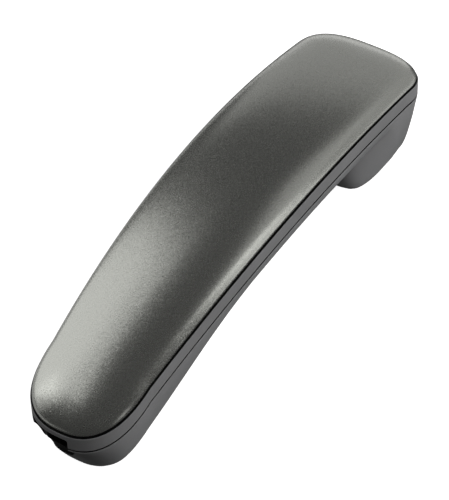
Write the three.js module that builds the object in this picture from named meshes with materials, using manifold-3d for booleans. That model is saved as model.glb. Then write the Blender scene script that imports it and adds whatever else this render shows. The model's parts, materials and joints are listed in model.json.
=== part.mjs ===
// A corded desk telephone's handset, in millimetres: +Z up, +X towards the earpiece, resting face down
// on its earpiece and mouthpiece, with the origin on the surface under the middle of its box.
//
// The shell is drawn in an "arch frame": x along the handset, y across it, and w the height above the
// line where the top cover ends. That line is a parabola, z = -ARCH_SAG (x / HALF_LENGTH)^2, so a point's
// height is arch(x) + w. The finished arch is then pitched a little, until both end faces touch down.
import * as THREE from "three";
import { mergeVertices } from "three/addons/utils/BufferGeometryUtils.js";
import Module from "manifold-3d";

const wasm = await Module();
wasm.setup();
const { Manifold, Mesh } = wasm;

// ---------------------------------------------------------------- driving dimensions

const HALF_LENGTH = 101.35; // of the top cover's outline
const HALF_WIDTH = 23; // of the top cover at mid length
const TAPER = 0.138; // the earpiece end is wider than the mouthpiece end
const BARREL = -0.168; // both ends are narrower than the middle
const ARCH_SAG = 15.47; // drop of the cover's edge at each end

const MOUTH_CAP = { length: 24.9, power: 2.5 }; // rounded ends of the plan outline
const EAR_CAP = { length: 18.1, power: 2.8 };

const CROWN = { height: 6, planPower: 2.3, heightPower: 2 };
const COVER_WALL = 1.8;
const REVEAL = 0.7; // dark groove between the cover and the band
const BAND = { height: 6.3, flare: 0.35, proud: 0.5, wall: 1.6 };
const DECK = { top: -0.6, under: -2.2 };
const PARTING = { above: 0.55, below: 0.3 }; // groove between the band and the lower case
const CLEARANCE = 0.3;
const TONGUE = { wall: 0.9, rise: 1.5 };
const LOWER_WALL = 2;
const LOWER_FLOOR = 2.6;

// Depths of the lower case under the band: shallow along the grip, deep at both ends.
const GRIP = { depth: 10, power: 2.78 };
const MOUTH = {
  depth: 20.3,
  power: 3.4,
  from: -16.9,
  to: -81.7,
  lean: 0.61, // the end wall leans in this much per mm of depth, most at the tip
  leanFrom: -12, // from the cap's centre
  pinch: 0.045, // and narrows by this share per mm of depth
};
const EAR = {
  depth: 24.2,
  power: 6,
  tilt: -0.08, // per mm: the face is a little shallower towards the tip
  lean: 0.4, // the end wall leans in this much per mm of depth
  leanBelow: 3.1, // starting this far down
  leanBack: 6, // and this far back from the cap's centre
  pinch: 0.0047, // the tip narrows by this share per mm of depth
  pinchFrom: 74,
  wallAt: 47.5, // where the wall facing the grip starts
  wallRun: 6.8,
  cornerRun: 19, // how far that wall curves back towards the tip at the sides
  cornerPower: 4.4,
};
const FACE_CUT = 0.3; // the two end faces are planed flat, this deep at their middles
const FACE_PLATE = 2; // and backed by a flat plate
const EAR_FACE_X = 72;
const MOUTH_FACE_X = -78;
const MIC_X = 5; // the microphone, from the middle of the mouthpiece's face

// The cord socket, a four-contact handset jack, lies along X in the finished frame.
const SOCKET_Y = 2.1;
// Its housing and the window through the end wall reach further to the left than the plug does.
const SOCKET = {
  front: -98.9,
  top: -18.9,
  right: -5.2,
  left: 8.5,
  height: 9.6,
  depth: 14,
  setback: 0.5,
  apron: { foot: -12.3, back: 6.6 },
  corner: 40,
  cornerFrom: 4.4,
};
const WINDOW = {
  front: -12,
  back: 8.2,
  right: -5.5,
  left: 9.9,
  foot: -12.6,
  top: 5.8,
  slant: 25,
  slantFrom: -3,
};
const PLUG_BAY = { width: 7.8, height: 6.8, depth: 12.2, floor: 1.2 };
const CONTACTS = { count: 4, pitch: 1.27, wire: 0.5, leg: 7.4, slope: 17, slot: 0.9 };

const CASE_SCREWS_X = [-46, 36];
const SCREW = { headRadius: 2.4, headHeight: 1.6, shankRadius: 1.25, length: 9 };

// ---------------------------------------------------------------- plan outline

const arch = (x) => -ARCH_SAG * (x / HALF_LENGTH) ** 2;
const archSlope = (x) => (-2 * ARCH_SAG * x) / HALF_LENGTH ** 2;
const halfWidth = (x) => HALF_WIDTH * (1 + (TAPER * x) / HALF_LENGTH + BARREL * (x / HALF_LENGTH) ** 2);
const bandHeight = (x) => BAND.height + BAND.flare * (x / HALF_LENGTH) ** 2;
const unit = (t) => Math.min(1, Math.max(0, t));
const smooth = (t) => unit(t) ** 2 * (3 - 2 * unit(t));
const mix = (a, b, t) => a + (b - a) * t;

const MOUTH_CENTRE = -HALF_LENGTH + MOUTH_CAP.length;
const EAR_CENTRE = HALF_LENGTH - EAR_CAP.length;

// The stations of one side, from the mouthpiece tip to the earpiece tip: each knows its spine point.
function sideStations(capSteps, xs) {
  const angles = Array.from({ length: capSteps }, (_, i) => ((i / capSteps) * Math.PI) / 2);
  const mouth = angles.map((angle) => ({ spine: MOUTH_CENTRE, cap: MOUTH_CAP, way: -1, angle }));
  const ear = angles.map((angle) => ({ spine: EAR_CENTRE, cap: EAR_CAP, way: 1, angle })).reverse();
  return [...mouth, ...xs.map((spine) => ({ spine })), ...ear];
}

// The whole loop, right side first, then back along the left side.
function loopStations(capSteps, xs) {
  const side = sideStations(capSteps, xs);
  const right = side.map((s) => ({ ...s, hand: -1 }));
  const left = side.slice(1, -1).map((s) => ({ ...s, hand: 1 }));
  return [...right, ...left.reverse()];
}

// A plan point: the outline moved out by `off`, then pulled in to `rho` of its distance from the spine.
function planPoint(station, off, rho) {
  const half = halfWidth(station.spine) + off;
  if (!station.cap) return { x: station.spine, y: station.hand * half * rho };
  const { length, power } = station.cap;
  const along = Math.cos(station.angle) ** (2 / power);
  const across = station.angle === 0 ? 0 : Math.sin(station.angle) ** (2 / power);
  return {
    x: station.spine + station.way * (length + off) * along * rho,
    y: station.hand * half * across * rho,
  };
}

const evenly = (from, to, count) => Array.from({ length: count }, (_, i) => mix(from, to, i / (count - 1)));
const PLAIN_STATIONS = loopStations(8, evenly(MOUTH_CENTRE, EAR_CENTRE, 17));
const LOWER_STATIONS = loopStations(8, [
  ...evenly(MOUTH_CENTRE, 36, 11),
  ...evenly(43, 58, 9),
  ...evenly(62, EAR_CENTRE, 4),
]);

// ---------------------------------------------------------------- solids

// Rows of points, one per station, skinned into a closed mesh. A first or last row lies on the spine,
// where both sides meet; `ring` instead joins the last row back to the first.
function skin(rows, ring = false) {
  const position = [];
  const add = (a, b, c) => {
    const same = (p, q) => p.distanceToSquared(q) < 1e-8;
    if (!same(a, b) && !same(b, c) && !same(a, c)) position.push(...a, ...b, ...c);
  };
  const last = ring ? rows.length : rows.length - 1;
  for (let j = 0; j < last; j++) {
    const upper = rows[j];
    const lower = rows[(j + 1) % rows.length];
    for (let i = 0; i < upper.length; i++) {
      const k = (i + 1) % upper.length;
      add(upper[i], lower[i], lower[k]);
      add(upper[i], lower[k], upper[k]);
    }
  }
  return new THREE.BufferGeometry().setAttribute("position", new THREE.Float32BufferAttribute(position, 3));
}

function solid(geometry) {
  const plain = new THREE.BufferGeometry().setAttribute(
    "position",
    (geometry.index ? geometry.toNonIndexed() : geometry).getAttribute("position"),
  );
  const merged = mergeVertices(plain, 1e-4);
  const made = (triVerts) =>
    new Manifold(new Mesh({ numProp: 3, vertProperties: merged.attributes.position.array, triVerts }));
  const first = made(new Uint32Array(merged.index.array));
  return first.volume() > 0 ? first : made(new Uint32Array([...merged.index.array].reverse()));
}

function geometryOf(body) {
  const { vertProperties, triVerts } = body.getMesh();
  return new THREE.BufferGeometry()
    .setAttribute("position", new THREE.BufferAttribute(vertProperties, 3))
    .setIndex(new THREE.BufferAttribute(triVerts, 1));
}

const cut = (body, ...tools) => tools.reduce((left, tool) => left.subtract(tool), body);
const join = (body, ...others) => others.reduce((left, other) => left.add(other), body);

// A box by its lowest and highest corners.
function block(low, high) {
  const size = high.map((h, i) => h - low[i]);
  return solid(new THREE.BoxGeometry(...size).translate(...low.map((l, i) => l + size[i] / 2)));
}

// A round bar along +Z from z0 to z1, at x, y.
function bar(radius, z0, z1, x = 0, y = 0, sides = 20) {
  const geometry = new THREE.CylinderGeometry(radius, radius, z1 - z0, sides).rotateX(Math.PI / 2);
  return solid(geometry.translate(x, y, (z0 + z1) / 2));
}

// A turned piece about Z from [radius, z] pairs that start and end on the axis or close on themselves.
function turned(profile, sides = 32) {
  const points = profile.map(([r, z]) => new THREE.Vector2(r, z));
  return solid(new THREE.LatheGeometry(points, sides).rotateX(Math.PI / 2));
}

const tube = (inner, outer, z0, z1, sides = 32) =>
  turned([[inner, z0], [outer, z0], [outer, z1], [inner, z1], [inner, z0]], sides);

// A round wire through the given points.
function wire(points, radius, steps) {
  const curve = new THREE.CatmullRomCurve3(points.map((p) => new THREE.Vector3(...p)), false, "centripetal");
  const section = new THREE.Shape().absarc(0, 0, radius, 0, 2 * Math.PI);
  const options = { extrudePath: curve, steps, curveSegments: 4, bevelEnabled: false };
  return new THREE.ExtrudeGeometry(section, options);
}

// ---------------------------------------------------------------- materials and nodes

const material = (color, roughness, metalness = 0) =>
  new THREE.MeshStandardMaterial({ color, roughness, metalness });
const MATERIALS = {
  paint: material(0x54554f, 0.42, 0.55),
  casing: material(0x58585a, 0.55),
  socket: material(0x0b0b0c, 0.4),
  gold: material(0xd2a24a, 0.25, 1),
  steel: material(0x9b9ea2, 0.35, 1),
  board: material(0x1f5a3a, 0.6),
  foam: material(0x26272a, 0.95),
  mesh: material(0x16171a, 0.9),
  rubber: material(0x1b1b1d, 0.85),
  basket: material(0x2a2b2e, 0.5),
  diaphragm: material(0xb9b3a2, 0.45),
  copper: material(0xb06a3c, 0.35, 1),
  magnet: material(0x6d6f73, 0.45, 0.8),
  redLead: material(0xa8201c, 0.5),
  blackLead: material(0x151515, 0.5),
  yellowLead: material(0xc9a31d, 0.5),
  greenLead: material(0x1f7a3c, 0.5),
};

const handset = new THREE.Group();

function node(parent, name, shape, finish) {
  const geometry = shape.isBufferGeometry ? shape : geometryOf(shape);
  const mesh = new THREE.Mesh(geometry, MATERIALS[finish]);
  mesh.name = name;
  parent.add(mesh);
  return mesh;
}

// ---------------------------------------------------------------- shells

const row = (stations, off, w, rho = 1) =>
  stations.map((station) => {
    const { x, y } = planPoint(station, off, rho);
    return new THREE.Vector3(x, y, arch(x) + (typeof w === "function" ? w(x) : w));
  });

// The crowned skin: superellipse sections, rounding over into the edge.
function coverRows(off, height, steps, base) {
  return evenly(Math.PI / 2, 0, steps).map((angle) => {
    const rho = angle === Math.PI / 2 ? 0 : Math.cos(angle) ** (2 / CROWN.planPower);
    const rise = height * Math.sin(angle) ** (2 / CROWN.heightPower);
    return row(PLAIN_STATIONS, off, base + rise, rho);
  });
}

function topCover() {
  const base = REVEAL / 2;
  const outer = coverRows(0, CROWN.height, 8, base);
  const inner = coverRows(-COVER_WALL, CROWN.height - COVER_WALL, 6, base).reverse();
  return solid(skin([...outer, ...inner]));
}

// The upper case: a deck under the cover, a spigot that locates the cover, and the band round it.
function upperCase() {
  const spigot = { outer: -COVER_WALL - 0.7, inner: -COVER_WALL - 2, top: 0.9 };
  const shoulder = -REVEAL / 2;
  const foot = (x) => -bandHeight(x) + PARTING.above;
  const at = (off, w, rho) => row(PLAIN_STATIONS, off, w, rho);
  const rows = [
    at(spigot.inner, DECK.top, 0),
    at(spigot.inner, DECK.top),
    at(spigot.inner, spigot.top),
    at(spigot.outer, spigot.top),
    at(spigot.outer, shoulder),
    at(BAND.proud - 0.25, shoulder),
    at(BAND.proud, shoulder - 0.25),
    at(BAND.proud, foot),
    at(BAND.proud - BAND.wall, foot),
    at(BAND.proud - BAND.wall, DECK.under),
    at(BAND.proud - BAND.wall, DECK.under, 0),
  ];
  const posts = CASE_SCREWS_X.map((x) => screwPost(x));
  const pilots = CASE_SCREWS_X.map((x) => bar(1, seatHeight(x) + 1, arch(x) + DECK.under, x));
  return cut(join(solid(skin(rows)), ...posts), ...pilots, socketWindow());
}

const across = (angle, power) => (angle === Math.PI / 2 ? 0 : Math.cos(angle) ** (2 / power));
const earCorner = (y) => EAR.cornerRun * (Math.abs(y) / HALF_WIDTH) ** EAR.cornerPower;

// The wall facing the grip curves back at its sides, and the stations near it bend back with it.
function bent(station, rho) {
  if (station.cap) return station;
  const { spine } = station;
  const share = Math.min((spine - 16) / 28, (EAR_CENTRE - spine) / (EAR_CENTRE - 56), 1);
  return { ...station, spine: spine + Math.max(0, share) * earCorner(halfWidth(spine) * rho) };
}

// The lower case's surface at a station: `angle` runs from the rim (0) to the spine (a quarter turn).
// The inner surface is `wall` inside the outer one at the sides and `floor` above it underneath.
function lowerPoint(straight, angle, wall = 0, floor = 0) {
  const station = bent(straight, across(angle, GRIP.power));
  const top = (x) => arch(x) - bandHeight(x) - PARTING.below;
  const section = (power, depth, taper) => {
    const drop = angle === 0 ? 0 : (depth - floor) * Math.sin(angle) ** (2 / power);
    const { x, y } = planPoint(station, BAND.proud - wall, across(angle, power));
    const { lean, pinch } = taper(x, drop);
    return new THREE.Vector3(x + lean, y * (1 - pinch), top(x) - drop);
  };
  const toMouth = smooth((MOUTH.from - station.spine) / (MOUTH.from - MOUTH.to));
  const trough = section(
    mix(GRIP.power, MOUTH.power, toMouth),
    mix(GRIP.depth, MOUTH.depth, toMouth),
    (x, drop) => {
      const from = MOUTH_CENTRE + MOUTH.leanFrom;
      const share = unit((from - x) / (from + HALF_LENGTH - wall));
      return { lean: MOUTH.lean * drop * share ** 3, pinch: MOUTH.pinch * drop * share ** 2 };
    },
  );
  const cup = section(EAR.power, EAR.depth + EAR.tilt * (station.spine - EAR_CENTRE), (x, drop) => {
    const below = Math.max(0, drop - EAR.leanBelow);
    const share = unit((x - EAR.pinchFrom) / (HALF_LENGTH - EAR.pinchFrom));
    return {
      lean: -EAR.lean * below * smooth((x - EAR_CENTRE + EAR.leanBack) / EAR_CAP.length),
      pinch: EAR.pinch * drop * share,
    };
  });
  const toEar = smooth((trough.x - EAR.wallAt - wall - earCorner(trough.y)) / EAR.wallRun);
  return trough.lerp(cup, toEar);
}

const lowerRow = (angle, ...inset) => LOWER_STATIONS.map((station) => lowerPoint(station, angle, ...inset));

// Centre-line height of the lower case's outer face, and its slope.
const soleHeight = (x) => lowerPoint({ spine: x, hand: 1 }, Math.PI / 2).z;
const soleSlope = (x) => (soleHeight(x + 4) - soleHeight(x - 4)) / 8;

// A group standing on the centre of an end face, its +Z pointing into the handset.
function faceFrame(x) {
  const group = new THREE.Group();
  group.rotation.y = -Math.atan(soleSlope(x));
  group.position.set(x, 0, soleHeight(x) + FACE_CUT / Math.cos(group.rotation.y));
  group.updateMatrix();
  handset.add(group);
  return group;
}
const earFrame = faceFrame(EAR_FACE_X);
const mouthFrame = faceFrame(MOUTH_FACE_X);

// The pitch at which both ends touch a level surface, found by halving: more pitch lifts the earpiece.
function restingPitch() {
  const angles = evenly(0, Math.PI / 2, 60);
  const capPoints = (station) => angles.map((angle) => lowerPoint(station, angle));
  const planed = (frame, point) => {
    const local = point.clone().applyMatrix4(frame.matrix.clone().invert());
    return local.setZ(Math.max(0, local.z)).applyMatrix4(frame.matrix);
  };
  const mouth = capPoints(LOWER_STATIONS[0]).map((point) => planed(mouthFrame, point));
  const ear = capPoints({ spine: EAR_CENTRE, cap: EAR_CAP, way: 1, angle: 0, hand: 1 });
  const earPlaned = ear.map((point) => planed(earFrame, point));
  const lowest = (points, pitch) =>
    Math.min(...points.map(({ x, z }) => x * Math.sin(pitch) + z * Math.cos(pitch)));
  let [low, high] = [0, 0.15];
  while (high - low > 1e-7) {
    const middle = (low + high) / 2;
    if (lowest(earPlaned, middle) < lowest(mouth, middle)) low = middle;
    else high = middle;
  }
  return low;
}
const PITCH = restingPitch();

// Moves a solid, or a point, from a group's frame into the arch frame.
const inFrame = (frame, body) => body.transform(frame.matrix.elements);
const pointIn = (frame, x, y, z) => new THREE.Vector3(x, y, z).applyMatrix4(frame.matrix);

const seatHeight = (x) => soleHeight(x) + 3.4; // where a case screw's head rests
const EAR_HOLES = [
  { radius: 0, count: 1 },
  { radius: 4.2, count: 6 },
  { radius: 8.2, count: 12 },
];
const VENTS = [
  { radius: 0, count: 1 },
  { radius: 5, count: 6 },
  { radius: 9.5, count: 8 },
];
const EAR_BOSSES = [-1, 1].map((side) => ({ x: 0, y: side * 17.4 }));
const RECEIVER = { radius: 15, seat: 4.8, back: 10.8 };

function ringOf(holes, make) {
  return holes.flatMap(({ radius, count }) =>
    evenly(0, 2 * Math.PI, count + 1)
      .slice(0, count)
      .map((a) => make(radius * Math.cos(a), radius * Math.sin(a))),
  );
}

// A post from the deck down to the screw's seat in the lower case.
function screwPost(x) {
  return bar(3, seatHeight(x) + CLEARANCE + 1.2, arch(x) + DECK.under + 0.4, x);
}

function lowerCase() {
  const outer = evenly(Math.PI / 2, 0, 10).map((angle) => lowerRow(angle));
  const tongueOut = BAND.proud - BAND.wall - CLEARANCE;
  const tongueIn = tongueOut - TONGUE.wall;
  const rim = (x) => -bandHeight(x) - PARTING.below;
  const tip = (x) => -bandHeight(x) + TONGUE.rise;
  const rimStations = LOWER_STATIONS.map((station) => bent(station, 1));
  const lip = [
    row(rimStations, tongueOut, rim),
    row(rimStations, tongueOut, tip),
    row(rimStations, tongueIn, tip),
    row(rimStations, tongueIn, rim),
  ];
  const inner = evenly(0, Math.PI / 2, 9).slice(1).map((angle) => lowerRow(angle, LOWER_WALL, LOWER_FLOOR));
  const shell = solid(skin([...outer, ...lip, ...inner]));
  const spine = outer[outer.length - 1].map(({ x, z }) => new THREE.Vector3(x, 0, z));
  const filled = solid(skin([...outer, spine]));
  const plates = [earFrame, mouthFrame].map((frame) =>
    inFrame(frame, block([-26, -30, 0], [26, 30, FACE_PLATE])).intersect(filled),
  );

  const seats = CASE_SCREWS_X.map((x) => bar(4, soleHeight(x) + 1, seatHeight(x) + 1.2, x));
  const wells = CASE_SCREWS_X.map((x) => bar(SCREW.headRadius + 0.4, soleHeight(x) - 3, seatHeight(x), x));
  const shanks = CASE_SCREWS_X.map((x) => bar(SCREW.shankRadius + 0.3, soleHeight(x), seatHeight(x) + 3, x));

  const bosses = EAR_BOSSES.map(({ x, y }) => inFrame(earFrame, bar(2, 1, RECEIVER.back, x, y, 16)));
  const pilots = EAR_BOSSES.map(({ x, y }) => inFrame(earFrame, bar(0.8, 4.5, 12, x, y, 10)));
  const flats = [earFrame, mouthFrame].map((frame) => inFrame(frame, block([-30, -30, -6], [30, 30, 0])));
  const dish = inFrame(earFrame, turned([[0, -1], [14.5, -1], [13.5, 0.4], [0, 1]], 32));
  const sound = ringOf(EAR_HOLES, (x, y) => inFrame(earFrame, bar(0.9, -1, 4, x, y, 8)));
  const voice = [-4, 0, 4].map((y) => inFrame(mouthFrame, bar(0.8, -1, 4, MIC_X, y, 8)));
  const body = join(shell, ...plates, ...seats, ...bosses);
  return cut(body, ...flats, dish, ...wells, ...shanks, ...pilots, ...sound, ...voice, socketWindow());
}

// ---------------------------------------------------------------- cord socket

const socketFrame = new THREE.Group();
socketFrame.rotation.y = PITCH; // undoes the arch's pitch, so that the socket lies level
socketFrame.position.set(SOCKET.front, SOCKET_Y, SOCKET.top - SOCKET.height / 2);
socketFrame.updateMatrix();
handset.add(socketFrame);

// What the slanting lower part of the window's right edge leaves standing, and `gap` more.
function windowSlant(gap) {
  const wedge = new THREE.BoxGeometry(60, 30, 40).translate(0, -15, -20);
  wedge.rotateX(THREE.MathUtils.degToRad(WINDOW.slant));
  return solid(wedge.translate(0, WINDOW.right + gap, WINDOW.slantFrom));
}

// The window through the end wall, larger than the socket's face.
function socketWindow() {
  const { front, back, right, left, foot, top } = WINDOW;
  return inFrame(socketFrame, cut(block([front, right, foot], [back, left, top]), windowSlant(0)));
}

const BAY_LOW = -SOCKET.height / 2 + PLUG_BAY.floor;
const BAY_HIGH = BAY_LOW + PLUG_BAY.height;
const contactY = (i) => (i - (CONTACTS.count - 1) / 2) * CONTACTS.pitch;
const indices = Array.from({ length: CONTACTS.count }, (_, i) => i);
const CONTACT_ROOT = { x: 2.2, z: BAY_HIGH + 0.75 };

// All that lies deeper than `setback` under the outside of the band and the lower case.
function withinCase(setback) {
  const rows = evenly(Math.PI / 2, 0, 10).map((angle) => lowerRow(angle, setback, setback));
  const rimStations = LOWER_STATIONS.map((station) => bent(station, 1));
  const top = row(rimStations, BAND.proud - setback, 0);
  const spine = top.map(({ x, z }) => new THREE.Vector3(x, 0, z));
  return solid(skin([...rows, top, spine]));
}

// The housing, and the apron in front that closes the window under it.
function socketHousing() {
  const { right, left, height, depth, apron } = SOCKET;
  const box = block([0, right, -height / 2], [depth, left, height / 2]);
  const plate = block([0, right, apron.foot], [apron.back, left, 0.5 - height / 2]);
  const follow = inFrame(socketFrame, join(box, plate)).intersect(withinCase(SOCKET.setback));
  const body = follow.transform(socketFrame.matrix.clone().invert().elements);
  const bay = block([-1, -PLUG_BAY.width / 2, BAY_LOW], [PLUG_BAY.depth, PLUG_BAY.width / 2, BAY_HIGH]);
  const latch = block([-1, -1.6, -height / 2 - 1], [6, 1.6, BAY_LOW + 1]);
  // The left front corner slopes back behind the end wall's curve.
  const bevel = new THREE.BoxGeometry(20, 20, 4 * height).translate(-10, 10, 0);
  bevel.rotateZ(-THREE.MathUtils.degToRad(SOCKET.corner));
  const corner = solid(bevel.translate(0, SOCKET.cornerFrom, 0));
  const slots = indices.map((i) => {
    const low = [1.2, contactY(i) - CONTACTS.slot / 2, BAY_HIGH - 1];
    const high = [depth - 1.6, contactY(i) + CONTACTS.slot / 2, BAY_HIGH + 1.1];
    return block(low, high);
  });
  return cut(body, bay, latch, corner, windowSlant(CLEARANCE), ...slots);
}

// A sprung contact: it leaves its root at the ceiling's front edge and slopes back into the plug bay.
function contactLeg(i) {
  const { wire: thick, leg, slope } = CONTACTS;
  const geometry = new THREE.BoxGeometry(leg, thick, thick).translate(leg / 2, 0, 0);
  geometry.rotateY(THREE.MathUtils.degToRad(slope));
  return geometry.translate(CONTACT_ROOT.x, contactY(i), CONTACT_ROOT.z);
}

function socketParts() {
  node(socketFrame, "socket_housing", socketHousing(), "socket");
  indices.forEach((i) => node(socketFrame, `socket_contact_${i + 1}`, contactLeg(i), "gold"));
  const under = -SOCKET.height / 2 - CLEARANCE;
  const board = block([7, -7, under - 1.2], [SOCKET.depth + 4, 5.5, under]);
  node(socketFrame, "socket_board", board, "board");
}

// ---------------------------------------------------------------- receiver in the earpiece

function receiverParts() {
  const { radius, seat, back } = RECEIVER;
  node(earFrame, "ear_mesh", tube(0, 11.4, 3, 3.4), "mesh");
  node(earFrame, "receiver_gasket", tube(11.8, 14.6, 3, seat - CLEARANCE), "foam");

  const cap = turned([
    [0, seat], [radius, seat], [radius, seat + 1.8], [13.9, seat + 1.8], [13.4, seat + 0.9], [0, seat + 0.9],
  ]);
  const vents = ringOf(VENTS, (x, y) => bar(0.9, seat - 1, seat + 2, x, y, 8));
  node(earFrame, "receiver_front_cap", cut(cap, ...vents), "basket");

  const rim = seat + 2.1;
  const basket = turned([
    [radius, rim], [radius, rim + 1.2], [14, back - 0.9], [14, back], [8.5, back], [8.5, back - 1],
    [12.6, back - 1], [13.2, rim + 1.2], [13.6, rim], [radius, rim],
  ]);
  const windows = ringOf([{ radius: 11, count: 4 }], (x, y) => bar(1.2, back - 3, back + 1, x, y, 10));
  node(earFrame, "receiver_basket", cut(basket, ...windows), "basket");

  // A domed middle, a roll at mid radius and a flat edge, 0.3 thick.
  const front = [[0, 7.9], [2.6, 7.55], [5.2, 7.1], [9, 6.95], [12.9, 7.5]];
  const behind = [[12.9, 7.8], [9, 7.25], [5.3, 7.4], [2.6, 7.9], [0, 8.25]];
  node(earFrame, "receiver_cone", turned([...front, ...behind], 28), "diaphragm");
  node(earFrame, "voice_coil", tube(5.35, 5.85, 7.85, 10.5, 28), "copper");
  node(earFrame, "pole_plate", turned([[0, 9], [4.8, 9], [4.8, 9.9], [0, 9.9]], 28), "steel");
  node(earFrame, "receiver_magnet", turned([[0, 10.2], [4.5, 10.2], [4.5, 12], [0, 12]], 28), "magnet");
  const yoke = turned([[0, 12.3], [6.5, 12.3], [6.5, 9.2], [8.1, 9.2], [8.1, 13.5], [0, 13.5]], 28);
  node(earFrame, "receiver_yoke", yoke, "steel");
  node(earFrame, "terminal_board", block([-3, -5.5, 13.8], [4, 5.5, 14.8]), "board");

  retainerParts();
}

// A bridge across the back of the receiver, held by a screw in each boss.
function retainerParts() {
  const under = RECEIVER.back + CLEARANCE;
  const reach = EAR_BOSSES[1].y;
  const ring = tube(9.4, 13.4, under, under + 1.4, 28);
  const arms = [-1, 1].map((side) => {
    const ys = [side * 11, side * reach].sort((a, b) => a - b);
    return block([-2.4, ys[0], under], [2.4, ys[1], under + 1.4]);
  });
  const ends = EAR_BOSSES.map(({ x, y }) => bar(2.4, under, under + 1.4, x, y, 16));
  const holes = EAR_BOSSES.map(({ x, y }) => bar(1.15, under - 1, under + 3, x, y, 12));
  node(earFrame, "receiver_retainer", cut(join(ring, ...arms, ...ends), ...holes), "casing");
  EAR_BOSSES.forEach(({ x, y }, i) => {
    const head = under + 1.4 + CLEARANCE;
    const screw = join(bar(1.9, head, head + 1.3, x, y, 16), bar(0.7, 6, head + 0.5, x, y, 10));
    const slot = block([x - 1.5, y - 0.25, head + 0.8], [x + 1.5, y + 0.25, head + 2]);
    node(earFrame, `retainer_screw_${i + 1}`, cut(screw, slot), "steel");
  });
}

// ---------------------------------------------------------------- microphone in the mouthpiece

const MIC_BACK = 9.6;

function microphoneParts() {
  const place = (body) => body.translate([MIC_X, 0, 0]);
  node(mouthFrame, "mic_mesh", place(block([-3, -6.5, 2.9], [3, 6.5, 3.2])), "mesh");
  const boot = turned([[0, 3.5], [6, 3.5], [6, 10], [5.1, 10], [5.1, 5], [2, 5], [2, 4.5], [0, 4.5]], 24);
  node(mouthFrame, "mic_boot", place(cut(boot, bar(1.2, 3, 5, 0, 0, 12))), "rubber");
  const capsule = turned([[0, 5.3], [4.8, 5.3], [4.8, 9.2], [4.4, MIC_BACK], [0, MIC_BACK]], 24);
  node(mouthFrame, "mic_capsule", place(cut(capsule, bar(0.6, 4, 6, 0, 0, 10))), "steel");
}

// ---------------------------------------------------------------- ballast, screws, leads

function ballastParts() {
  const top = -4.6;
  const under = top - 6;
  node(handset, "ballast_weight", block([-36, -9, under], [26, 9, top]), "steel");
  [-26, 16].forEach((x, i) => {
    const floor = Math.max(soleHeight(x - 5), soleHeight(x + 5)) + LOWER_FLOOR + 0.6;
    node(handset, `ballast_pad_${i + 1}`, block([x - 5, -7, floor], [x + 5, 7, under - CLEARANCE]), "foam");
  });
}

function caseScrews() {
  CASE_SCREWS_X.forEach((x, i) => {
    const seat = seatHeight(x) - CLEARANCE;
    const head = bar(SCREW.headRadius, seat - SCREW.headHeight, seat, x, 0, 20);
    const shank = bar(0.85, seat - 0.5, seat + SCREW.length, x, 0, 12);
    const cross = [
      block([x - 1.3, -0.3, seat - 3], [x + 1.3, 0.3, seat - 0.7]),
      block([x - 0.3, -1.3, seat - 3], [x + 0.3, 1.3, seat - 0.7]),
    ];
    node(handset, `case_screw_${i + 1}`, cut(join(head, shank), ...cross), "steel");
  });
}

// Insulated leads from the socket's board: one to each side of the receiver, past the ballast, and a
// pair to the microphone.
const LEAD = { radius: 0.55, fine: 0.45 };
const leadStart = (y, z) => pointIn(socketFrame, SOCKET.depth + 1.2, y, z).toArray();

function leads() {
  const base = -SOCKET.height / 2 - CLEARANCE + 0.9;
  [1, -1].forEach((side, i) => {
    const y = side * 11.8;
    const clips = [
      [-66, -23], [-50, -14.5], [-36, -10.6], [-18, -8.3], [4, -8], [28, -8.6], [44, -11.5], [55, -16.5],
    ];
    const route = [
      leadStart(side * 3, base),
      pointIn(socketFrame, SOCKET.depth + 4, side * 7.8 - SOCKET_Y, base + 1.5).toArray(),
      ...clips.map(([x, z]) => [x, y, z]),
      pointIn(earFrame, -9, side * 8, 16.2).toArray(),
      pointIn(earFrame, -1.5, side * 3.4, 15.8).toArray(),
    ];
    node(handset, `receiver_lead_${i + 1}`, wire(route, LEAD.radius, 34), i ? "blackLead" : "redLead");
  });
  [1, -1].forEach((side, i) => {
    const route = [
      leadStart(side * 1.2, base),
      pointIn(socketFrame, SOCKET.depth + 2.6, side * 1.6, base + 3).toArray(),
      pointIn(mouthFrame, MIC_X - 5.5, side * 2.2, MIC_BACK + 2.4).toArray(),
      pointIn(mouthFrame, MIC_X - 1.5, side * 1.8, MIC_BACK + 1).toArray(),
    ];
    node(handset, `mic_lead_${i + 1}`, wire(route, LEAD.fine, 8), i ? "greenLead" : "yellowLead");
  });
}

// ---------------------------------------------------------------- assembly

node(handset, "top_cover", topCover(), "paint");
node(handset, "upper_case", upperCase(), "casing");
node(handset, "lower_case", lowerCase(), "casing");
socketParts();
receiverParts();
microphoneParts();
ballastParts();
caseScrews();
leads();

// Pitch the arch, then stand it on the surface with the middle of its box over the origin.
handset.rotation.y = -PITCH;
handset.updateMatrixWorld(true);
const box = new THREE.Box3().setFromObject(handset, true);
handset.position.set(-(box.min.x + box.max.x) / 2, 0, -box.min.z);

const root = new THREE.Group();
root.add(handset);
export default root;
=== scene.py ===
"""Looks of the telephone handset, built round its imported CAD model.

Metres, +Z up, +X towards the earpiece. The shell is worked out in millimetres in the arch frame, which
is symmetrical end to end, and then pitched as the handset lies.
"""
import json
import math

import bmesh
import bpy
import numpy as np
from mathutils import Matrix, Vector


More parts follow.
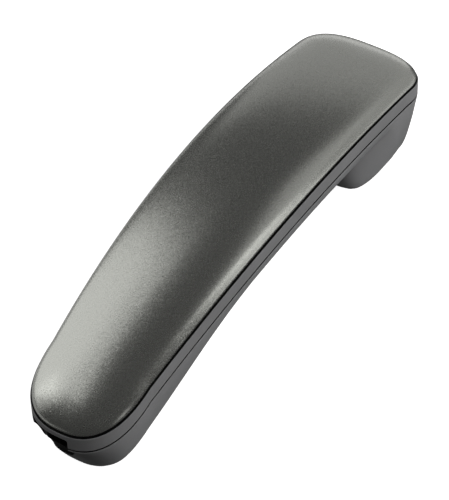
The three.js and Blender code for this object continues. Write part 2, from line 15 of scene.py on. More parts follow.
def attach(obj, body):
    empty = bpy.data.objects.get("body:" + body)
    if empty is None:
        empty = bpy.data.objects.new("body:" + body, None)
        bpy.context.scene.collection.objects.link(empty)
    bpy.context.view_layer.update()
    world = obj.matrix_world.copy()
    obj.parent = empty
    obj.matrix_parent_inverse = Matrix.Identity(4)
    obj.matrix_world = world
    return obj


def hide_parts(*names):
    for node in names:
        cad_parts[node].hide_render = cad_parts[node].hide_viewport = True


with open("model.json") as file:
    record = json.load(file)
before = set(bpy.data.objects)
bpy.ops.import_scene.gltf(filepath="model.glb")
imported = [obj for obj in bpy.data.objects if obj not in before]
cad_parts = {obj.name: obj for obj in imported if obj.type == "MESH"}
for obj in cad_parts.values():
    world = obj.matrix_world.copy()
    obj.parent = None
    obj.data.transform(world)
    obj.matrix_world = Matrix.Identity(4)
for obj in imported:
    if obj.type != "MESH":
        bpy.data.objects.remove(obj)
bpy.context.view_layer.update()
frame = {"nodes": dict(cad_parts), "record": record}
MM = 0.001
HALF_PI = math.pi / 2

# ---------------------------------------------------------------- shape, in mm, as in the CAD model

HALF_LENGTH = 101.35
HALF_WIDTH = 23.0
TAPER = 0.138  # wider towards the earpiece
BARREL = -0.168  # narrower towards both ends
ARCH_SAG = 15.47
MOUTH_CAP = (24.9, 2.5)  # length and power of the superellipse that closes the outline
EAR_CAP = (18.1, 2.8)
CROWN_HEIGHT = 6.0
CROWN_PLAN_POWER = 2.3
COVER_WALL = 1.8
REVEAL = 0.7  # gap between the cover and the band
BAND_HEIGHT = 6.3
BAND_FLARE = 0.35
BAND_PROUD = 0.5
BAND_WALL = 1.6
SPIGOT_OUT, SPIGOT_IN, SPIGOT_TOP = -COVER_WALL - 0.7, -COVER_WALL - 2, 0.9
DECK_TOP = -0.6
DECK_UNDER = -2.2
PARTING_ABOVE, PARTING_BELOW = 0.55, 0.3  # gap between the band and the lower case
CLEARANCE = 0.3
TONGUE_WALL = 0.9
TONGUE_RISE = 1.5
LOWER_WALL = 2.0
LOWER_FLOOR = 2.6
GRIP_DEPTH, GRIP_POWER = 10.0, 2.78
MOUTH_DEPTH, MOUTH_POWER, MOUTH_FROM, MOUTH_TO = 20.3, 3.4, -16.9, -81.7
MOUTH_LEAN, MOUTH_LEAN_FROM, MOUTH_PINCH = 0.61, -12.0, 0.045
EAR_DEPTH, EAR_POWER, EAR_TILT = 24.2, 6.0, -0.08
EAR_LEAN, EAR_LEAN_BELOW, EAR_LEAN_BACK = 0.4, 3.1, 6.0
EAR_PINCH, EAR_PINCH_FROM = 0.0047, 74.0
EAR_WALL_AT, EAR_WALL_RUN, EAR_CORNER_RUN, EAR_CORNER_POWER = 47.5, 6.8, 19.0, 4.4
BEND_FROM, BEND_RUN, BEND_TO = 16.0, 28.0, 56.0  # stations that bend back with the cup's wall
FACE_CUT = 0.3
FACE_PLATE = 2.0
EAR_FACE_X = 72.0
MOUTH_FACE_X = -78.0
EAR_END_FROM, MOUTH_END_FROM = 50, -56  # where the planed ends begin
DISH = [(0, -1), (14.6, -1), (13.6, 0.4), (0, 1.0)]  # (radius, height) round the earpiece's axis
SOUND_HOLE_RADIUS = 0.9
SOUND_RINGS = ((4.2, 6), (8.2, 12))  # radius and number of holes
MIC_X = 5.0
MIC_HOLE_RADIUS = 0.8
MIC_HOLES_Y = (-4, 0, 4)
SCREWS_X = (-46.0, 36.0)
SCREW_WELL_RADIUS, SCREW_WELL_FROM, SCREW_SEAT = 2.8, -3, 3.4  # heights from the underside
SOCKET_Y = 2.1
SOCKET_FRONT = -98.9
SOCKET_MIDDLE_Z = -23.7
WINDOW_LEFT, WINDOW_RIGHT, WINDOW_TOP, WINDOW_FOOT = 9.9, -5.5, 5.8, -12.6
WINDOW_FRONT, WINDOW_BACK = -12.0, 8.2
WINDOW_SLANT, WINDOW_SLANT_FROM = math.radians(25), -3.0

PITCH = math.radians(1.2095869)  # at which both ends touch the floor
ARCH_OFFSET = (-0.409523, 0.0, 40.463845)

# Finer than in the CAD model: rounded edges, and the channels that darken the two parting lines, whose
# faces also take a black painted shade.
COVER_ROUND = 0.28
COVER_INNER_BEVEL = 0.15
BAND_ROUND_TOP, BAND_ROUND_FOOT = 0.14, 0.12
BAND_SIDE_ROWS, BAND_SIDE_DROP = (0.2, 0.4, 0.6, 0.8), 0.3  # shares of the band's height, and mm
LOWER_ROUND = 0.12
FACE_ROUND = 0.12
WINDOW_ROUND = 0.9
SEAM_IN, SEAM_DEPTH, SEAM_FLOOR = -0.55, 1.3, -1.4

SPINE_STEPS, CAP_STEPS, COVER_STEPS = 96, 26, 44
LOWER_OUTER_STEPS, LOWER_INNER_STEPS = (34, 22), (12, 10)  # on the cup's face, and from there to the rim
AT_SPINE = HALF_PI - 1e-9  # from this angle on, a row lies on the spine
SHARP_ANGLE, CAD_SHARP_ANGLE = math.radians(40), math.radians(35)
WELD = 2e-6  # metres

MOUTH_CENTRE = -HALF_LENGTH + MOUTH_CAP[0]
EAR_CENTRE = HALF_LENGTH - EAR_CAP[0]


def arch(x):
    return -ARCH_SAG * (x / HALF_LENGTH) ** 2


def half_width(x):
    return HALF_WIDTH * (1 + TAPER * x / HALF_LENGTH + BARREL * (x / HALF_LENGTH) ** 2)


def band_height(x):
    return BAND_HEIGHT + BAND_FLARE * (x / HALF_LENGTH) ** 2


def smooth(t):
    t = np.clip(t, 0, 1)
    return t * t * (3 - 2 * t)


def mix(a, b, t):
    return a + (b - a) * t


def across(angle, power):
    """How far out a superellipse section is at an angle, as a share of its half width."""
    return 0.0 if angle >= AT_SPINE else math.cos(angle) ** (2 / power)


def loop_stations(xs):
    """The stations round the outline: arrays of spine x, cap way (-1, 0, 1), cap angle and hand."""
    angles = [i / CAP_STEPS * HALF_PI for i in range(CAP_STEPS)]
    side = [(MOUTH_CENTRE, -1, a) for a in angles]
    side += [(x, 0, HALF_PI) for x in xs]
    side += [(EAR_CENTRE, 1, a) for a in reversed(angles)]
    right = [(*s, -1) for s in side]
    left = [(*s, 1) for s in reversed(side[1:-1])]
    return tuple(np.array(column, float) for column in zip(*(right + left)))


def plan_point(stations, off, rho):
    """The outline, `off` outside the cover's edge, shrunk to the spine by `rho`."""
    spine, way, angle, hand = stations
    half = half_width(spine) + off
    length = np.where(way < 0, MOUTH_CAP[0], EAR_CAP[0]) + off
    power = np.where(way < 0, MOUTH_CAP[1], EAR_CAP[1])
    along = np.cos(angle).clip(0, 1) ** (2 / power)
    aside = np.where(way == 0, 1.0, np.sin(angle).clip(0, 1) ** (2 / power))
    x = spine + np.where(way == 0, 0.0, way * length * along) * rho
    y = hand * half * aside * rho
    return x, y


def row(stations, off, w, rho=1.0):
    """Points at the height w, a number or a function of x, over the arch."""
    x, y = plan_point(stations, off, rho)
    return np.stack([x, y, arch(x) + (w(x) if callable(w) else w)], axis=1)


def spaced(runs):
    """Spine positions from (from, to, count) runs, each run's end left to the next."""
    out = []
    for low, high, count in runs:
        out += list(np.linspace(low, high, count, endpoint=False))
    return out


PLAIN = loop_stations(spaced([(MOUTH_CENTRE, EAR_CENTRE, SPINE_STEPS)]) + [EAR_CENTRE])
LOWER_RUNS = [(MOUTH_CENTRE, 36, 52), (36, 44, 8), (44, 58, 30), (58, EAR_CENTRE, 20)]
LOWER = loop_stations(spaced(LOWER_RUNS) + [EAR_CENTRE])  # closer where the cup's wall rises

# ---------------------------------------------------------------- meshes


def to_row(points):
    """Points of the arch frame, in mm, to the frame of the finished part, in metres."""
    p = np.asarray(points, float)
    c, s = math.cos(PITCH), math.sin(PITCH)
    x, y, z = p[:, 0], p[:, 1], p[:, 2]
    out = np.stack([x * c - z * s, y, x * s + z * c], axis=1) + np.array(ARCH_OFFSET)
    return out * MM


def new_object(name, verts, faces):
    mesh = bpy.data.meshes.new(name)
    mesh.from_pydata([tuple(v) for v in verts], [], faces)
    obj = bpy.data.objects.new(name, mesh)
    bpy.context.scene.collection.objects.link(obj)
    return obj


def skin(name, rows, materials, painted_shade_rows=()):
    """Rows of points, one per station, skinned into a closed mesh. End rows lie on the spine.

    The faces that follow the listed rows take the second material, a black painted shade for the dark
    parting lines.
    """
    count = len(rows[0])
    verts = to_row(np.concatenate(rows))
    faces = []
    for j in range(len(rows) - 1):
        for i in range(count):
            k = (i + 1) % count
            faces.append((j * count + i, (j + 1) * count + i, (j + 1) * count + k, j * count + k))
    obj = new_object(name, verts, faces)
    for material in materials:
        obj.data.materials.append(material)
    slots = [int(k // count in painted_shade_rows) for k in range(len(faces))]
    obj.data.polygons.foreach_set("material_index", slots)
    tidy(obj)
    return obj


def tidy(obj):
    """Welds the points that coincide, and turns every face outward."""
    bm = bmesh.new()
    bm.from_mesh(obj.data)
    bmesh.ops.remove_doubles(bm, verts=bm.verts, dist=WELD)
    bmesh.ops.dissolve_degenerate(bm, edges=bm.edges, dist=WELD / 4)
    bmesh.ops.recalc_face_normals(bm, faces=bm.faces)
    bm.to_mesh(obj.data)
    bm.free()
    shade(obj)


def shade(obj, sharp=SHARP_ANGLE):
    obj.data.shade_smooth()
    obj.data.set_sharp_from_angle(angle=sharp)


def carve(obj, *tools):
    """Cuts the tools out of obj, and removes them. A tool's own material shows where it cuts."""
    for tool in tools:
        if not tool.data.materials:
            tool.data.materials.append(obj.data.materials[0])
        modifier = obj.modifiers.new("cut", "BOOLEAN")
        modifier.object = tool
        modifier.operation = "DIFFERENCE"
        modifier.solver = "EXACT"
        modifier.material_mode = "TRANSFER"
    graph = bpy.context.evaluated_depsgraph_get()
    made = bpy.data.meshes.new_from_object(obj.evaluated_get(graph))
    obj.modifiers.clear()
    obj.data = made
    for tool in tools:
        bpy.data.objects.remove(tool)
    shade(obj)


# ---------------------------------------------------------------- cover and upper case


def arc(centre_off, centre_w, radius, start, end, steps):
    """(off, w) pairs round part of a circle, angles in degrees from +off towards +w."""
    turns = np.radians(np.linspace(start, end, steps))
    return [(centre_off + radius * math.cos(a), centre_w + radius * math.sin(a)) for a in turns]


def crown_rows(off, height, base, angles):
    rows = []
    for angle in angles:
        rows.append(row(PLAIN, off, base + height * math.sin(angle), across(angle, CROWN_PLAN_POWER)))
    return rows


def top_cover():
    base = REVEAL / 2
    angles = [HALF_PI * (1 - t) for t in np.linspace(0, 1, COVER_STEPS)]
    outer = crown_rows(0, CROWN_HEIGHT, base, angles)[:-1]
    edge = [row(PLAIN, o, w) for o, w in arc(-COVER_ROUND, base + COVER_ROUND, COVER_ROUND, 0, -90, 5)]
    inner_edge = [row(PLAIN, -COVER_WALL + COVER_INNER_BEVEL, base)]
    inner_edge += [row(PLAIN, -COVER_WALL, base + COVER_INNER_BEVEL)]
    inner_angles = angles[::2] + [0.03]  # ending just above the bevel
    inner = crown_rows(-COVER_WALL, CROWN_HEIGHT - COVER_WALL, base, inner_angles)
    return skin("crown_cover", outer + edge + inner_edge + inner[::-1], [PAINT])


def upper_case():
    """The deck under the cover, the spigot that locates the cover, and the band round it."""
    shoulder = -REVEAL / 2 - BAND_ROUND_TOP
    inside = BAND_PROUD - BAND_WALL

    def foot(x, rise=0.0):
        return -band_height(x) + PARTING_ABOVE + rise

    rows = [
        row(PLAIN, SPIGOT_IN, DECK_TOP, 0.0),
        row(PLAIN, SPIGOT_IN, DECK_TOP, 0.5),
        row(PLAIN, SPIGOT_IN, DECK_TOP),
        row(PLAIN, SPIGOT_IN, SPIGOT_TOP),
        row(PLAIN, SPIGOT_OUT, SPIGOT_TOP),
        row(PLAIN, SPIGOT_OUT, SEAM_FLOOR),
        row(PLAIN, SEAM_IN, SEAM_FLOOR),
    ]
    channel = len(rows) - 3
    edge = arc(BAND_PROUD - BAND_ROUND_TOP, shoulder, BAND_ROUND_TOP, 130, 0, 7)
    rows += [row(PLAIN, o, w) for o, w in edge]
    for share in BAND_SIDE_ROWS:
        rows.append(row(PLAIN, BAND_PROUD, lambda x, s=share: -band_height(x) * s - BAND_SIDE_DROP))
    for a in np.radians([0, 30, 60, 90]):
        off = BAND_PROUD - BAND_ROUND_FOOT + BAND_ROUND_FOOT * math.cos(a)
        rows.append(row(PLAIN, off, lambda x, a=a: foot(x, BAND_ROUND_FOOT * (1 - math.sin(a)))))
    rows += [
        row(PLAIN, inside, foot),
        row(PLAIN, inside, DECK_UNDER),
        row(PLAIN, inside, DECK_UNDER, 0.5),
        row(PLAIN, inside, DECK_UNDER, 0.0),
    ]
    under_foot = len(rows) - 5  # the strip from the foot's rounding to its inner edge
    # The channel's three rows and the strip under the foot take the second material: black painted shade
    # where shade falls in the parting line.
    return skin("band_case", rows, [CASING, PAINTED_SHADE], (channel, channel + 1, channel + 2, under_foot))


# ---------------------------------------------------------------- lower case


def ear_corner(y):
    return EAR_CORNER_RUN * (np.abs(y) / HALF_WIDTH) ** EAR_CORNER_POWER


def bent(stations, rho):
    """The wall facing the grip curves back at its sides, and the stations near it bend back with it."""
    spine, way, angle, hand = stations
    rise, fall = (spine - BEND_FROM) / BEND_RUN, (EAR_CENTRE - spine) / (EAR_CENTRE - BEND_TO)
    share = np.minimum(np.minimum(rise, fall), 1)
    share = np.where(way == 0, np.maximum(share, 0), 0)
    return spine + share * ear_corner(half_width(spine) * rho), way, angle, hand


def lower_row(angle, wall=0.0, floor=0.0, stations=LOWER):
    """The lower case's surface, from the rim (angle 0) to the spine (a quarter turn).

    The inner surface is `wall` inside the outer one at the sides and `floor` above it underneath.
    """
    station = bent(stations, across(angle, GRIP_POWER))
    spine = station[0]
    sine = math.sin(angle)
    cosine = 0.0 if angle >= AT_SPINE else math.cos(angle)

    def section(power, depth):
        rho = np.where(cosine > 0, max(cosine, 1e-12) ** (2 / power), 0.0)
        drop = (depth - floor) * (sine ** (2 / power) if sine > 0 else 0.0)
        x, y = plan_point(station, BAND_PROUD - wall, rho)
        return x, y, drop

    def top(x):
        return arch(x) - band_height(x) - PARTING_BELOW

    to_mouth = smooth((MOUTH_FROM - spine) / (MOUTH_FROM - MOUTH_TO))
    power, depth = mix(GRIP_POWER, MOUTH_POWER, to_mouth), mix(GRIP_DEPTH, MOUTH_DEPTH, to_mouth)
    x, y, drop = section(power, depth)
    lean_from = MOUTH_CENTRE + MOUTH_LEAN_FROM
    share = np.clip((lean_from - x) / (lean_from + HALF_LENGTH - wall), 0, 1)
    lean = MOUTH_LEAN * drop * share**3
    trough = np.stack([x + lean, y * (1 - MOUTH_PINCH * drop * share**2), top(x) - drop], axis=1)

    depth = EAR_DEPTH + EAR_TILT * (spine - EAR_CENTRE)
    x, y, drop = section(np.full_like(spine, EAR_POWER), depth)
    below = np.maximum(drop - EAR_LEAN_BELOW, 0)
    lean = -EAR_LEAN * below * smooth((x - EAR_CENTRE + EAR_LEAN_BACK) / EAR_CAP[0])
    share = np.clip((x - EAR_PINCH_FROM) / (HALF_LENGTH - EAR_PINCH_FROM), 0, 1)
    cup = np.stack([x + lean, y * (1 - EAR_PINCH * drop * share), top(x) - drop], axis=1)
    wall_at = EAR_WALL_AT + wall + ear_corner(trough[:, 1])
    to_ear = smooth((trough[:, 0] - wall_at) / EAR_WALL_RUN)[:, None]
    return trough * (1 - to_ear) + cup * to_ear


def sole_height(x):
    station = tuple(np.array([v], float) for v in (x, 0, HALF_PI, 1))
    return float(lower_row(HALF_PI, stations=station)[0, 2])


def face_frame(x):
    """Origin and X, Z directions, in the arch frame, of a planed end face; +Z points inward."""
    step = 4
    slope = (sole_height(x + step) - sole_height(x - step)) / (2 * step)
    tilt = math.atan(slope)
    c, s = math.cos(tilt), math.sin(tilt)
    origin = np.array([x, 0.0, sole_height(x) + FACE_CUT / c])
    return origin, np.array([c, 0, s]), np.array([-s, 0, c])


EAR_FRAME = face_frame(EAR_FACE_X)
MOUTH_FRAME = face_frame(MOUTH_FACE_X)


def planed(points, face, above):
    """Points lower than a plane parallel to a face are lifted onto it, with a softly rounded edge."""
    origin, _, normal = face
    height = (points - origin) @ normal - above
    lifted = FACE_ROUND * np.logaddexp(0, height / FACE_ROUND)
    return points + (lifted - height)[:, None] * normal


def on_face(face, x, y, z):
    origin, along, normal = face
    return origin + along * x + np.array([0, y, 0]) + normal * z


def lower_angles(steps_in, steps_out):
    """From the spine (a quarter turn) to the rim (0): evenly across the cup's face, then by angle."""
    face_share = 0.9
    inner = [math.acos(r**3) for r in np.linspace(0, face_share, steps_in)]
    outer = list(np.linspace(math.acos(face_share**3), 0, steps_out + 1))[1:]
    return inner + outer


def planed_row(angle, wall=0.0, floor=0.0, plate=0.0):
    """A row of the lower case with its two end faces planed flat."""
    points = lower_row(angle, wall, floor)
    near_ear, near_mouth = points[:, 0] > EAR_END_FROM, points[:, 0] < MOUTH_END_FROM
    points = np.where(near_ear[:, None], planed(points, EAR_FRAME, plate), points)
    return np.where(near_mouth[:, None], planed(points, MOUTH_FRAME, plate), points)


def lower_case():
    def rim_at(x, rise=0.0):
        return -band_height(x) - PARTING_BELOW + rise

    def channel_foot(x):
        return rim_at(x, -SEAM_DEPTH)

    def tip(x):
        return -band_height(x) + TONGUE_RISE

    rim = bent(LOWER, 1.0)
    outer = [planed_row(angle) for angle in lower_angles(*LOWER_OUTER_STEPS)[:-1]]
    for a in np.radians([0, 30, 60, 90, 125]):
        off = BAND_PROUD - LOWER_ROUND + LOWER_ROUND * math.cos(a)
        outer.append(row(rim, off, lambda x, a=a: rim_at(x, LOWER_ROUND * (math.sin(a) - 1))))
    tongue_out = BAND_PROUD - BAND_WALL - CLEARANCE
    tongue_in = tongue_out - TONGUE_WALL
    lip = [row(rim, SEAM_IN, channel_foot), row(rim, tongue_out, channel_foot)]
    lip += [row(rim, tongue_out, tip), row(rim, tongue_in, tip), row(rim, tongue_in, rim_at)]
    inner_angles = lower_angles(*LOWER_INNER_STEPS)[::-1][1:]
    inner = [planed_row(a, LOWER_WALL, LOWER_FLOOR, FACE_PLATE) for a in inner_angles]
    channel = len(outer) - 1
    rows = outer + lip + inner
    # The channel's rows take the second material: black painted shade where shade falls in the parting
    # line.
    return skin("lower_shell", rows, [CASING, PAINTED_SHADE], (channel, channel + 1, channel + 2))


# ---------------------------------------------------------------- cutters


def cutter(name, face, profile, sides, x=0.0, y=0.0):
    """A turned cutter along a face's axis, from (radius, z) pairs that start and end on the axis."""
    verts, faces = [], []
    turns = [2 * math.pi * k / sides for k in range(sides)]
    for r, z in profile[1:-1]:
        verts += [on_face(face, x + r * math.cos(t), y + r * math.sin(t), z) for t in turns]
    bottom, top = len(verts), len(verts) + 1
    verts += [on_face(face, x, y, profile[0][1]), on_face(face, x, y, profile[-1][1])]
    for j in range(len(profile) - 3):
        for k in range(sides):
            n = (k + 1) % sides
            faces.append((j * sides + k, j * sides + n, (j + 1) * sides + n, (j + 1) * sides + k))
    last = (len(profile) - 3) * sides
    faces += [(bottom, (k + 1) % sides, k) for k in range(sides)]
    faces += [(top, last + k, last + (k + 1) % sides) for k in range(sides)]
    obj = new_object(name, to_row(verts), faces)
    tidy(obj)
    return obj


# A frame like a face's, for cutters that run straight up.
ARCH_FRAME = (np.zeros(3), np.array([1.0, 0, 0]), np.array([0, 0, 1.0]))
FACE_HOLE = (-1, 4)  # from just outside a face to well inside the case


def hole(face, radius, low, high, x=0.0, y=0.0, sides=24):
    return cutter("hole", face, [(0, low), (radius, low), (radius, high), (0, high)], sides, x, y)


def ring_of_holes(face, radius, count, hole_radius):
    turns = [2 * math.pi * k / count for k in range(count)]
    places = [(radius * math.cos(t), radius * math.sin(t)) for t in turns]
    return [hole(face, hole_radius, *FACE_HOLE, x, y) for x, y in places]


def rounded(corners, radius, steps):
    """A closed outline with its corners rounded off, each over `radius` of both its edges."""
    outline = []
    for k, corner in enumerate(corners):
        corner, before, after = (np.array(corners[j % len(corners)]) for j in (k, k - 1, k + 1))
        enter = corner + radius * (before - corner) / np.linalg.norm(before - corner)
        leave = corner + radius * (after - corner) / np.linalg.norm(after - corner)
        for t in np.linspace(0, 1, steps):
            outline.append((1 - t) ** 2 * enter + 2 * t * (1 - t) * corner + t**2 * leave)
    return outline


def socket_window():
    """A level hole through the mouth's end wall, with a slanting lower right edge."""
    foot_right = WINDOW_RIGHT + (WINDOW_SLANT_FROM - WINDOW_FOOT) * math.tan(WINDOW_SLANT)
    corners = [(WINDOW_LEFT, WINDOW_TOP), (WINDOW_RIGHT, WINDOW_TOP), (WINDOW_RIGHT, WINDOW_SLANT_FROM)]
    corners += [(foot_right, WINDOW_FOOT), (WINDOW_LEFT, WINDOW_FOOT)]
    outline = rounded(corners, WINDOW_ROUND, 7)
    c, s = math.cos(PITCH), math.sin(PITCH)
    verts = []
    for x in (WINDOW_FRONT, WINDOW_BACK):
        for y, z in outline:
            along, up = x * c + z * s, z * c - x * s
            verts.append((SOCKET_FRONT + along, SOCKET_Y + y, SOCKET_MIDDLE_Z + up))
    count = len(outline)
    faces = [tuple(range(count)), tuple(reversed(range(count, 2 * count)))]
    faces += [(k, count + k, count + (k + 1) % count, (k + 1) % count) for k in range(count)]
    obj = new_object("window", to_row(verts), faces)
    # The walls it cuts take this near-black material: painted shade inside the socket window.
    obj.data.materials.append(PAINTED_SHADE)
    tidy(obj)
    return obj


# ---------------------------------------------------------------- materials

ROUGHNESS_SPREAD = 0.06


def feed(tree, socket, value):
    """Links an output to a socket, or sets the socket to a constant."""
    if hasattr(value, "links"):
        tree.links.new(value, socket)
    else:
        socket.default_value = value


class Nodes:
    """Builds a node material with few words."""

    def __init__(self, name):
        self.material = bpy.data.materials.new(name)
        self.material.use_nodes = True
        self.tree = self.material.node_tree
        self.tree.nodes.clear()
        self.shader = self.tree.nodes.new("ShaderNodeBsdfPrincipled")
        out = self.tree.nodes.new("ShaderNodeOutputMaterial")
        self.tree.links.new(self.shader.outputs[0], out.inputs[0])
        self.where = self.tree.nodes.new("ShaderNodeTexCoord").outputs["Object"]

    def node(self, kind, **values):
        """A new node of a kind, its inputs fed by name."""
        made = self.tree.nodes.new("ShaderNode" + kind)
        for key, value in values.items():
            feed(self.tree, made.inputs[key.replace("_", " ")], value)
        return made

    def set(self, **values):
        for key, value in values.items():
            feed(self.tree, self.shader.inputs[key.replace("_", " ")], value)

    def noise(self, scale, detail, rough=0.5):
        made = self.node("TexNoise", Vector=self.where, Scale=scale, Detail=detail, Roughness=rough)
        return made.outputs[0]

    def cells(self, scale):
        """A random colour in each cell of a Voronoi pattern."""
        return self.node("TexVoronoi", Vector=self.where, Scale=scale).outputs["Color"]

    def ramp(self, value, stops):
        made = self.node("ValToRGB", Fac=value)
        for element, (at, colour) in zip(made.color_ramp.elements, stops):
            element.position = at
            element.color = (*colour, 1)
        return made.outputs[0]

    def span(self, value, low, high, to_low, to_high):
        limits = {"From_Min": low, "From_Max": high, "To_Min": to_low, "To_Max": to_high}
        return self.node("MapRange", Value=value, **limits).outputs[0]

    def mix(self, factor, a, b):
        made = self.node("Mix")
        made.data_type = "RGBA"
        feed(self.tree, made.inputs[0], factor)
        for socket, value in zip([s for s in made.inputs if s.type == "RGBA"], (a, b)):
            feed(self.tree, socket, value)
        return next(s for s in made.outputs if s.type == "RGBA")

    def vector(self, operation, a, **second):
        """Vector math on a: its second operand is b, a vector, or scale, a number."""
        made = self.node("VectorMath")
        made.operation = operation
        feed(self.tree, made.inputs[0], a)
        if "b" in second:
            feed(self.tree, made.inputs[1], second["b"])
        if "scale" in second:
            feed(self.tree, made.inputs["Scale"], second["scale"])
        return made.outputs[0]

    def tilt(self, flakes):
        """Tilts the normal of each cell at random, as metal flakes lie in a lacquer: a few lean far."""
        normal = self.node("NewGeometry").outputs["Normal"]
        for colour, amount in flakes:
            lean = self.vector("SUBTRACT", colour, b=(0.5, 0.5, 0.5))
            chance = self.node("SeparateXYZ", Vector=colour).outputs[2]
            far = self.span(chance, 0.6, 1.0, 0.12 * amount, amount)
            normal = self.vector("ADD", normal, b=self.vector("SCALE", lean, scale=far))
        feed(self.tree, self.shader.inputs["Normal"], self.vector("NORMALIZE", normal))

    def bump(self, height, strength, distance):
        made = self.node("Bump", Height=height, Strength=strength, Distance=distance)
        feed(self.tree, self.shader.inputs["Normal"], made.outputs[0])


def paint_material():
    n = Nodes("flake_lacquer")
    grain = n.noise(2400, 2, 0.6)
    cloud = n.noise(60, 3)
    base = n.ramp(grain, [(0.3, (0.374, 0.379, 0.352)), (0.7, (0.386, 0.391, 0.364))])
    base = n.mix(n.span(cloud, 0.3, 0.7, 0.0, 0.25), base, (0.37, 0.375, 0.35, 1))
    n.set(Base_Color=base, Metallic=0.9, Roughness=n.span(n.noise(3000, 1), 0.35, 0.65, 0.2, 0.3))
    n.tilt([(n.cells(4000), 0.14), (n.cells(8000), 0.15)])
    return n.material


def casing_material():
    n = Nodes("moulded_casing")
    grain = n.noise(3000, 2, 0.6)
    cloud = n.noise(45, 3)
    base = n.ramp(cloud, [(0.3, (0.18, 0.18, 0.182)), (0.7, (0.2, 0.2, 0.203))])
    n.set(Base_Color=base, Roughness=n.span(grain, 0.3, 0.7, 0.48, 0.6))
    n.bump(grain, 0.3, 3e-5)
    return n.material


def plain_material(name, colour, roughness, metallic=0.0, grain=1500, bump=0.2, spread=0.12, depth=3e-5):
    """A colour with a fine grain: its scale, bump strength, spread of brightness and depth in metres."""
    n = Nodes(name)
    speck = n.noise(grain, 3, 0.6)
    low = tuple(c * (1 - spread) for c in colour)
    high = tuple(c * (1 + spread) for c in colour)
    n.set(Base_Color=n.ramp(speck, [(0.3, low), (0.7, high)]), Metallic=metallic)
    smoothest, roughest = roughness - ROUGHNESS_SPREAD, min(1, roughness + ROUGHNESS_SPREAD)
    n.set(Roughness=n.span(speck, 0.3, 0.7, smoothest, roughest))
    n.bump(speck, bump, depth)
    return n.material


PAINT = paint_material()
CASING = casing_material()
# Painted shade: a near-black material for the faces deep in the parting lines and round the socket
# window, where shade falls.
PAINTED_SHADE = plain_material("painted_shade_black", (0.004, 0.004, 0.004), 0.9)
FINISH = {
    # The socket's moulding is near-black, darker than any plastic: partly its own black, partly painted
    # shade in the recess behind the window.
    "socket": plain_material("black_moulding_and_shade", (0.003, 0.003, 0.003), 0.7),
    "gold": plain_material("gold_plate", (0.75, 0.48, 0.16), 0.25, 1.0),
    "steel": plain_material("zinc_plate", (0.5, 0.51, 0.53), 0.35, 1.0),
    "magnet": plain_material("magnet_nickel", (0.35, 0.35, 0.36), 0.4, 1.0),
    "board": plain_material("circuit_board", (0.02, 0.12, 0.05), 0.4),
    "foam": plain_material("gasket_foam", (0.02, 0.02, 0.023), 0.95, 0, 900, 0.8, 0.4, 3e-4),
    "mesh": plain_material("dust_mesh", (0.012, 0.012, 0.013), 0.85, 0, 2500, 0.8, 0.5, 1e-4),
    "rubber": plain_material("soft_rubber", (0.012, 0.012, 0.013), 0.8),
    "basket": plain_material("dark_moulding", (0.022, 0.023, 0.025), 0.5),
    "diaphragm": plain_material("thin_film", (0.5, 0.45, 0.36), 0.4),
    "copper": plain_material("copper_winding", (0.6, 0.25, 0.11), 0.35, 1.0),
    "red_lead": plain_material("red_insulation", (0.4, 0.02, 0.015), 0.45),
    "black_lead": plain_material("black_insulation", (0.01, 0.01, 0.01), 0.45),
    "yellow_lead": plain_material("yellow_insulation", (0.6, 0.38, 0.02), 0.45),
    "green_lead": plain_material("green_insulation", (0.02, 0.22, 0.06), 0.45),
    "casing": CASING,
    "paint": PAINT,
}

# ---------------------------------------------------------------- assembly


def finish_piece(obj, node):
    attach(obj, "handset")
    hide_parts(node)


finish_piece(top_cover(), "top_cover")

band = upper_case()
carve(band, socket_window())
finish_piece(band, "upper_case")

lower = lower_case()
cuts = [cutter("dish", EAR_FRAME, DISH, 96)]
cuts += [hole(EAR_FRAME, SOUND_HOLE_RADIUS, *FACE_HOLE)]
for radius, count in SOUND_RINGS:
    cuts += ring_of_holes(EAR_FRAME, radius, count, SOUND_HOLE_RADIUS)
cuts += [hole(MOUTH_FRAME, MIC_HOLE_RADIUS, *FACE_HOLE, MIC_X, y) for y in MIC_HOLES_Y]
for x in SCREWS_X:
    sole = sole_height(x)
    well = (sole + SCREW_WELL_FROM, sole + SCREW_SEAT)
    cuts.append(hole(ARCH_FRAME, SCREW_WELL_RADIUS, *well, x, sides=40))
cuts.append(socket_window())
carve(lower, *cuts)
finish_piece(lower, "lower_case")

slot_of = {part["node"]: part["material_slot"] for part in frame["record"]["subparts"]}
for name, obj in frame["nodes"].items():
    obj.data.materials.clear()
    obj.data.materials.append(FINISH[slot_of[name]])
    if name not in ("top_cover", "upper_case", "lower_case"):
        shade(obj, CAD_SHARP_ANGLE)

# ---------------------------------------------------------------- stage, light and camera

HANDSET_MIDDLE = Vector((0, 0, 0.03))
WATTS_PER_AREA = 4  # an area light's watts per square metre at a radiance of 1
WORLD_STRENGTH = 0.05
CAMERA_PLACE = (-0.50291262, -0.3194, 0.63218801)
CAMERA_AIM = (-0.01353465, -0.00727144, 0.03)
CAMERA_ROLL = math.radians(-1.32984)
CAMERA_LENS, CAMERA_SENSOR = 182.48, 36


def look(obj, place, at, roll):
    obj.location = place
    turn = (Vector(at) - Vector(place)).to_track_quat("-Z", "Y").to_matrix()
    obj.rotation_euler = (turn @ Matrix.Rotation(roll, 3, "Z")).to_euler()


def lay_floor():
    """White to the camera, like the cut-out's ground, and unseen by reflections and bounced light."""
    bpy.ops.mesh.primitive_plane_add(size=8, location=(0, 0, 0))
    obj = bpy.context.object
    obj.name = "floor"
    n = Nodes("floor_white")
    n.set(Base_Color=n.ramp(n.noise(2, 2), [(0.3, (0.78,) * 3), (0.7, (0.8,) * 3)]), Roughness=0.9)
    n.set(Emission_Color=(1, 1, 1, 1), Emission_Strength=0.85)
    obj.data.materials.append(n.material)
    obj.visible_glossy = False
    obj.visible_diffuse = False


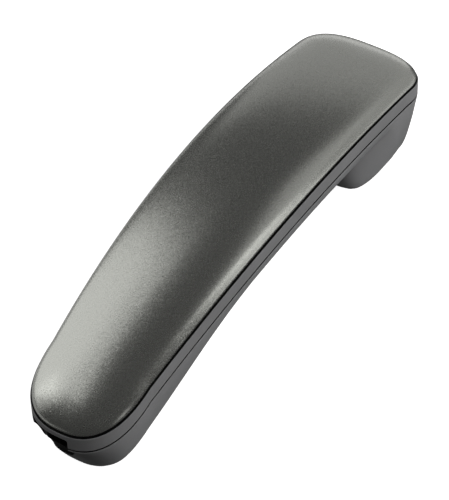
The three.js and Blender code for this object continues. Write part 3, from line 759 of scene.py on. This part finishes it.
def area_light(name, size, radiance):
    data = bpy.data.lights.new(name, "AREA")
    data.shape = "RECTANGLE"
    data.size, data.size_y = size
    data.energy = radiance * WATTS_PER_AREA * size[0] * size[1]
    obj = bpy.data.objects.new(name, data)
    bpy.context.scene.collection.objects.link(obj)
    obj.visible_camera = False
    return obj


def panel(name, azimuth, elevation, distance, size, radiance, slide=(0.0, 0.0)):
    """A soft light panel that faces the handset, slid sideways and up in its own plane."""
    azimuth, elevation = math.radians(azimuth), math.radians(elevation)
    flat = Vector((math.cos(azimuth), math.sin(azimuth), 0))
    aside = Vector((-math.sin(azimuth), math.cos(azimuth), 0))
    up = Vector((0, 0, 1)) * math.cos(elevation) - flat * math.sin(elevation)
    outward = flat * math.cos(elevation) + Vector((0, 0, 1)) * math.sin(elevation)
    obj = area_light(name, size, radiance)
    obj.location = outward * distance + HANDSET_MIDDLE + aside * slide[0] + up * slide[1]
    obj.rotation_euler = (-outward).to_track_quat("-Z", "Y").to_euler()
    return obj


def glow(name, middle, size, radiance):
    """Light that comes up from the floor beside the handset."""
    obj = area_light(name, size, radiance)
    obj.location = (*middle, MM)
    obj.rotation_euler = (math.pi, 0, 0)


lay_floor()
# The cover mirrors the panels. The fills, which have no reflection, and the glows light the casing.
panel("left_softbox", 90, 38, 1.0, (0.92, 1.36), 1.06, (0.0, -0.08))
panel("left_back_panel", 121, 28, 1.1, (0.4, 0.95), 0.56)
panel("right_strip", -60, 21, 0.9, (0.36, 0.95), 0.92)
panel("end_wall", 0, 14, 1.2, (2.2, 0.75), 0.38)
panel("end_wall_top", -36, 44, 1.1, (0.85, 0.55), 0.42)
panel("corner_strip", -105, 8, 0.9, (0.24, 0.4), 0.5)
panel("side_fill", -70, 25, 0.9, (1.0, 0.6), 2.6).visible_glossy = False
panel("front_fill", -155, 36, 0.3, (0.12, 0.09), 2.2).visible_glossy = False
glow("floor_glow_right", (0.42, -0.38), (0.6, 0.66), 0.6)
glow("floor_glow_end", (0.5, 0.36), (0.6, 0.7), 0.85)
glow("floor_glow_left", (-0.15, 0.3), (0.5, 0.5), 0.4)

world = bpy.data.worlds.new("studio")
world.use_nodes = True
world.node_tree.nodes["Background"].inputs[0].default_value = (1, 1, 1, 1)
world.node_tree.nodes["Background"].inputs[1].default_value = WORLD_STRENGTH
bpy.context.scene.world = world
bpy.context.scene.view_settings.view_transform = "Standard"

camera_data = bpy.data.cameras.new("camera")
camera_data.sensor_width = CAMERA_SENSOR
camera_data.lens = CAMERA_LENS
camera = bpy.data.objects.new("camera", camera_data)
bpy.context.scene.collection.objects.link(camera)
look(camera, CAMERA_PLACE, CAMERA_AIM, CAMERA_ROLL)
bpy.context.scene.camera = camera
